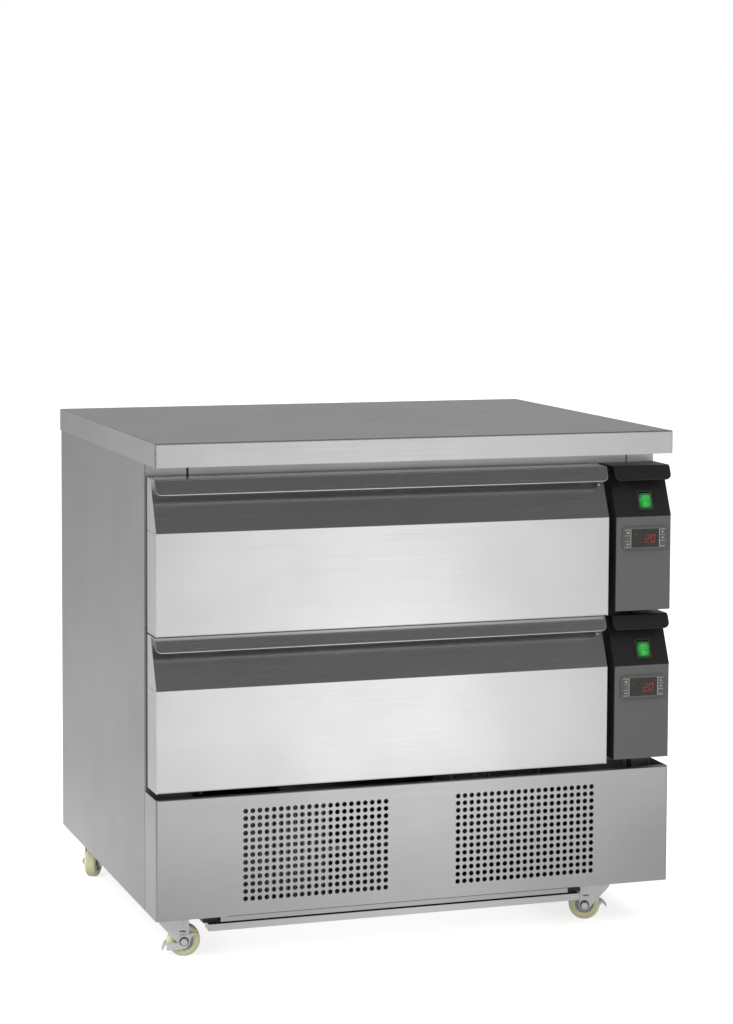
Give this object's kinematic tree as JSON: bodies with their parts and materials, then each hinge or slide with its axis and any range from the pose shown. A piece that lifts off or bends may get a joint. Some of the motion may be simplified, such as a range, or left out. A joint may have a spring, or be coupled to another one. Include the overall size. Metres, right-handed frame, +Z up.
{
  "type": "refrigerated drawer counter",
  "caption": "Low refrigerated counter with two stacked full-width pan drawers, a stainless worktop, a control column at the right and a machine base on castors.",
  "frame": {"origin": "middle of the whole footprint, on the floor under the castors", "axes": "+X along the front from left to right, drawers open towards -Y, +Z up"},
  "size_m": [0.88, 0.703, 0.83],
  "materials": {
    "worktop_stainless": "fine brushed stainless steel, lengthwise grain",
    "panel_stainless": "brushed stainless steel sheet",
    "front_stainless": "brushed stainless steel, bright",
    "inner_stainless": "stainless steel, inside finish",
    "zinc": "zinc-plated steel",
    "foam": "rigid polyurethane foam",
    "coil_aluminium": "aluminium fins on copper tube",
    "condenser_dark": "dark coated aluminium fins",
    "motor_black": "black painted steel",
    "chassis_black": "black painted steel",
    "housing_black": "black moulded plastic, satin",
    "plate_grey": "mid-grey lacquered plate",
    "controller_grey": "mid-grey moulded plastic",
    "window_smoked": "smoked acrylic",
    "switch_black": "black nylon",
    "cable_black": "black cable sheath",
    "gasket_rubber": "dark grey soft PVC",
    "lit_green": "translucent green, lit",
    "key_grey": "grey silicone key",
    "fan_black": "black moulded plastic",
    "nylon_cream": "cream nylon wheel on a grey core"
  },
  "bodies": {
    "cabinet": {"worktop": "worktop_stainless", "rivets_and_screws": "zinc", "side_panel_left": "panel_stainless", "side_panel_right": "panel_stainless", "back_panel": "panel_stainless", "front_frame": "panel_stainless", "insulation": "foam", "liners": "inner_stainless", "evaporators": "coil_aluminium", "fan_motors": "motor_black", "runner_outer": "zinc", "base_chassis": "chassis_black", "base_front_panel": "front_stainless", "compressors": "motor_black", "condensers": "condenser_dark", "control_housings": "housing_black", "control_plates": "plate_grey", "controller_bodies": "controller_grey", "display_windows": "window_smoked", "switch_frames": "switch_black", "wiring": "cable_black"},
    "drawer_upper": {"drawer_front_upper": "front_stainless", "drawer_inner_upper": "inner_stainless", "gasket_upper": "gasket_rubber", "tub_upper": "inner_stainless", "runner_inner_upper": "zinc"},
    "runner_middle_upper": {"runner_middle_upper": "zinc"},
    "rocker_upper": {"rocker_upper": "lit_green"},
    "key_upper_1": {"key_upper_1": "key_grey"},
    "key_upper_2": {"key_upper_2": "key_grey"},
    "key_upper_3": {"key_upper_3": "key_grey"},
    "key_upper_4": {"key_upper_4": "key_grey"},
    "key_upper_5": {"key_upper_5": "key_grey"},
    "drawer_lower": {"drawer_front_lower": "front_stainless", "drawer_inner_lower": "inner_stainless", "gasket_lower": "gasket_rubber", "tub_lower": "inner_stainless", "runner_inner_lower": "zinc"},
    "runner_middle_lower": {"runner_middle_lower": "zinc"},
    "rocker_lower": {"rocker_lower": "lit_green"},
    "key_lower_1": {"key_lower_1": "key_grey"},
    "key_lower_2": {"key_lower_2": "key_grey"},
    "key_lower_3": {"key_lower_3": "key_grey"},
    "key_lower_4": {"key_lower_4": "key_grey"},
    "key_lower_5": {"key_lower_5": "key_grey"},
    "condenser_fan_left": {"condenser_fan_left": "fan_black"},
    "condenser_fan_right": {"condenser_fan_right": "fan_black"},
    "evaporator_fan_upper": {"evaporator_fan_upper": "fan_black"},
    "evaporator_fan_lower": {"evaporator_fan_lower": "fan_black"},
    "drip_tray": {"drip_tray": "front_stainless"},
    "castor_fork_front_left": {"castor_fork_front_left": "zinc"},
    "castor_wheel_front_left": {"castor_wheel_front_left": "nylon_cream"},
    "brake_lever_left": {"brake_lever_left": "zinc"},
    "castor_fork_front_right": {"castor_fork_front_right": "zinc"},
    "castor_wheel_front_right": {"castor_wheel_front_right": "nylon_cream"},
    "brake_lever_right": {"brake_lever_right": "zinc"},
    "castor_fork_rear_left": {"castor_fork_rear_left": "zinc"},
    "castor_wheel_rear_left": {"castor_wheel_rear_left": "nylon_cream"},
    "castor_fork_rear_right": {"castor_fork_rear_right": "zinc"},
    "castor_wheel_rear_right": {"castor_wheel_rear_right": "nylon_cream"}
  },
  "joints": [
    {"name": "upper_drawer_slide", "type": "slide", "parent": "cabinet", "child": "drawer_upper", "axis": [0, -1, 0], "range_m": [0, 0.53]},
    {"name": "upper_runner_slide", "type": "slide", "parent": "cabinet", "child": "runner_middle_upper", "axis": [0, -1, 0], "range_m": [0, 0.265]},
    {"name": "upper_switch_rock", "type": "hinge", "parent": "cabinet", "child": "rocker_upper", "pos_m": [0.39575, -0.33293, 0.71187], "axis": [1, 0, 0], "range_deg": [-16, 0]},
    {"name": "key_upper_1_press", "type": "slide", "parent": "cabinet", "child": "key_upper_1", "axis": [0, 1, 0], "range_m": [0, 0.0005], "stiffness_N_per_m": 600},
    {"name": "key_upper_2_press", "type": "slide", "parent": "cabinet", "child": "key_upper_2", "axis": [0, 1, 0], "range_m": [0, 0.0005], "stiffness_N_per_m": 600},
    {"name": "key_upper_3_press", "type": "slide", "parent": "cabinet", "child": "key_upper_3", "axis": [0, 1, 0], "range_m": [0, 0.0005], "stiffness_N_per_m": 600},
    {"name": "key_upper_4_press", "type": "slide", "parent": "cabinet", "child": "key_upper_4", "axis": [0, 1, 0], "range_m": [0, 0.0005], "stiffness_N_per_m": 600},
    {"name": "key_upper_5_press", "type": "slide", "parent": "cabinet", "child": "key_upper_5", "axis": [0, 1, 0], "range_m": [0, 0.0005], "stiffness_N_per_m": 600},
    {"name": "lower_drawer_slide", "type": "slide", "parent": "cabinet", "child": "drawer_lower", "axis": [0, -1, 0], "range_m": [0, 0.53]},
    {"name": "lower_runner_slide", "type": "slide", "parent": "cabinet", "child": "runner_middle_lower", "axis": [0, -1, 0], "range_m": [0, 0.265]},
    {"name": "lower_switch_rock", "type": "hinge", "parent": "cabinet", "child": "rocker_lower", "pos_m": [0.39575, -0.33293, 0.46387], "axis": [1, 0, 0], "range_deg": [-16, 0]},
    {"name": "key_lower_1_press", "type": "slide", "parent": "cabinet", "child": "key_lower_1", "axis": [0, 1, 0], "range_m": [0, 0.0005], "stiffness_N_per_m": 600},
    {"name": "key_lower_2_press", "type": "slide", "parent": "cabinet", "child": "key_lower_2", "axis": [0, 1, 0], "range_m": [0, 0.0005], "stiffness_N_per_m": 600},
    {"name": "key_lower_3_press", "type": "slide", "parent": "cabinet", "child": "key_lower_3", "axis": [0, 1, 0], "range_m": [0, 0.0005], "stiffness_N_per_m": 600},
    {"name": "key_lower_4_press", "type": "slide", "parent": "cabinet", "child": "key_lower_4", "axis": [0, 1, 0], "range_m": [0, 0.0005], "stiffness_N_per_m": 600},
    {"name": "key_lower_5_press", "type": "slide", "parent": "cabinet", "child": "key_lower_5", "axis": [0, 1, 0], "range_m": [0, 0.0005], "stiffness_N_per_m": 600},
    {"name": "condenser_fan_left_spin", "type": "hinge", "parent": "cabinet", "child": "condenser_fan_left", "pos_m": [-0.228, -0.2645, 0.1595], "axis": [0, 1, 0], "continuous": true},
    {"name": "condenser_fan_right_spin", "type": "hinge", "parent": "cabinet", "child": "condenser_fan_right", "pos_m": [0.228, -0.0425, 0.1595], "axis": [0, 1, 0], "continuous": true},
    {"name": "evaporator_fan_upper_spin", "type": "hinge", "parent": "cabinet", "child": "evaporator_fan_upper", "pos_m": [0.3365, 0.1825, 0.64925], "axis": [1, 0, 0], "continuous": true},
    {"name": "evaporator_fan_lower_spin", "type": "hinge", "parent": "cabinet", "child": "evaporator_fan_lower", "pos_m": [0.3365, 0.1825, 0.40125], "axis": [1, 0, 0], "continuous": true},
    {"name": "tray_slide", "type": "slide", "parent": "cabinet", "child": "drip_tray", "axis": [0, -1, 0], "range_m": [0, 0.3]},
    {"name": "front_left_castor_swivel", "type": "hinge", "parent": "cabinet", "child": "castor_fork_front_left", "pos_m": [-0.395, -0.2785, 0.075], "axis": [0, 0, 1], "continuous": true},
    {"name": "front_left_wheel_spin", "type": "hinge", "parent": "castor_fork_front_left", "child": "castor_wheel_front_left", "pos_m": [-0.37739, -0.28224, 0.026], "axis": [0.2079, 0.9781, 0], "continuous": true},
    {"name": "brake_lever_left_press", "type": "hinge", "parent": "castor_fork_front_left", "child": "brake_lever_left", "pos_m": [-0.37739, -0.28224, 0.026], "axis": [0.2079, 0.9781, 0], "range_deg": [0, 15]},
    {"name": "front_right_castor_swivel", "type": "hinge", "parent": "cabinet", "child": "castor_fork_front_right", "pos_m": [0.339, -0.2785, 0.075], "axis": [0, 0, 1], "continuous": true},
    {"name": "front_right_wheel_spin", "type": "hinge", "parent": "castor_fork_front_right", "child": "castor_wheel_front_right", "pos_m": [0.32209, -0.27234, 0.026], "axis": [-0.342, -0.9397, 0], "continuous": true},
    {"name": "brake_lever_right_press", "type": "hinge", "parent": "castor_fork_front_right", "child": "brake_lever_right", "pos_m": [0.32209, -0.27234, 0.026], "axis": [-0.342, -0.9397, 0], "range_deg": [-15, 0]},
    {"name": "rear_left_castor_swivel", "type": "hinge", "parent": "cabinet", "child": "castor_fork_rear_left", "pos_m": [-0.395, 0.2665, 0.075], "axis": [0, 0, 1], "continuous": true},
    {"name": "rear_left_wheel_spin", "type": "hinge", "parent": "castor_fork_rear_left", "child": "castor_wheel_rear_left", "pos_m": [-0.404, 0.25091, 0.026], "axis": [0.866, -0.5, 0], "continuous": true},
    {"name": "rear_right_castor_swivel", "type": "hinge", "parent": "cabinet", "child": "castor_fork_rear_right", "pos_m": [0.339, 0.2665, 0.075], "axis": [0, 0, 1], "continuous": true},
    {"name": "rear_right_wheel_spin", "type": "hinge", "parent": "castor_fork_rear_right", "child": "castor_wheel_rear_right", "pos_m": [0.348, 0.25091, 0.026], "axis": [0.866, 0.5, 0], "continuous": true}
  ],
  "couplings": [
    {"joint": "upper_runner_slide", "follows": "upper_drawer_slide", "ratio": 0.5},
    {"joint": "lower_runner_slide", "follows": "lower_drawer_slide", "ratio": 0.5}
  ]
}
